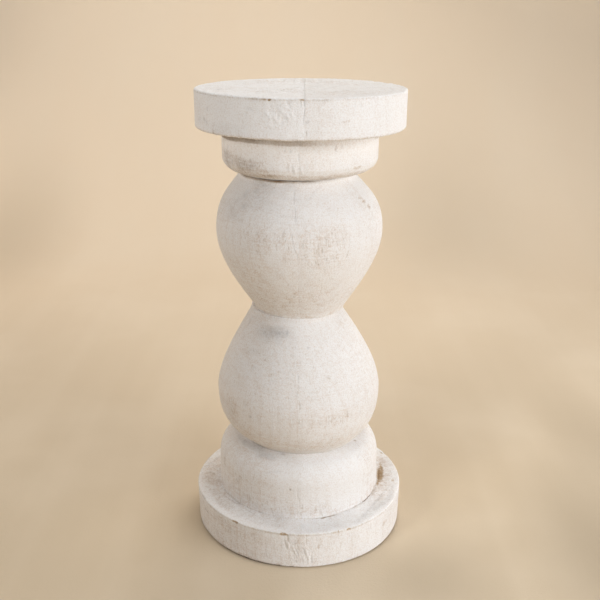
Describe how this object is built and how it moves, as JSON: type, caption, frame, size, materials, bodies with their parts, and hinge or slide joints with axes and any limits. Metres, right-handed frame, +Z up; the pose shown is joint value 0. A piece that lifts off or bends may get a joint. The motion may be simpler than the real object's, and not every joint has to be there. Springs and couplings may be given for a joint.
{
  "type": "pillar candle stand",
  "caption": "Small turned wooden stand with a flat round plate on a collar, stacked bulbs, a drum and a round base plate, with a whitewashed finish.",
  "frame": {"origin": "centre of the underside, on the surface that the stand rests on", "axes": "+Z up along the turning axis; the halves of every section meet on the plane X = 0, with the right halves on +X"},
  "size_m": [0.1446, 0.1446, 0.3],
  "materials": {
    "whitewashed_wood": "matt, uneven white wash over turned wood, worn to brown at edges and glue lines",
    "bare_wood": "unfinished fluted dowel",
    "felt": "dark pressed felt"
  },
  "bodies": {
    "root": {"base_plate_left": "whitewashed_wood", "base_plate_right": "whitewashed_wood", "drum_left": "whitewashed_wood", "drum_right": "whitewashed_wood", "lower_bulb_left": "whitewashed_wood", "lower_bulb_right": "whitewashed_wood", "upper_bulb_left": "whitewashed_wood", "upper_bulb_right": "whitewashed_wood", "collar_left": "whitewashed_wood", "collar_right": "whitewashed_wood", "top_plate_left": "whitewashed_wood", "top_plate_right": "whitewashed_wood", "base_dowel": "bare_wood", "drum_dowel": "bare_wood", "waist_dowel": "bare_wood", "neck_dowel": "bare_wood", "plate_dowel": "bare_wood", "felt_pad": "felt"}
  },
  "joints": []
}
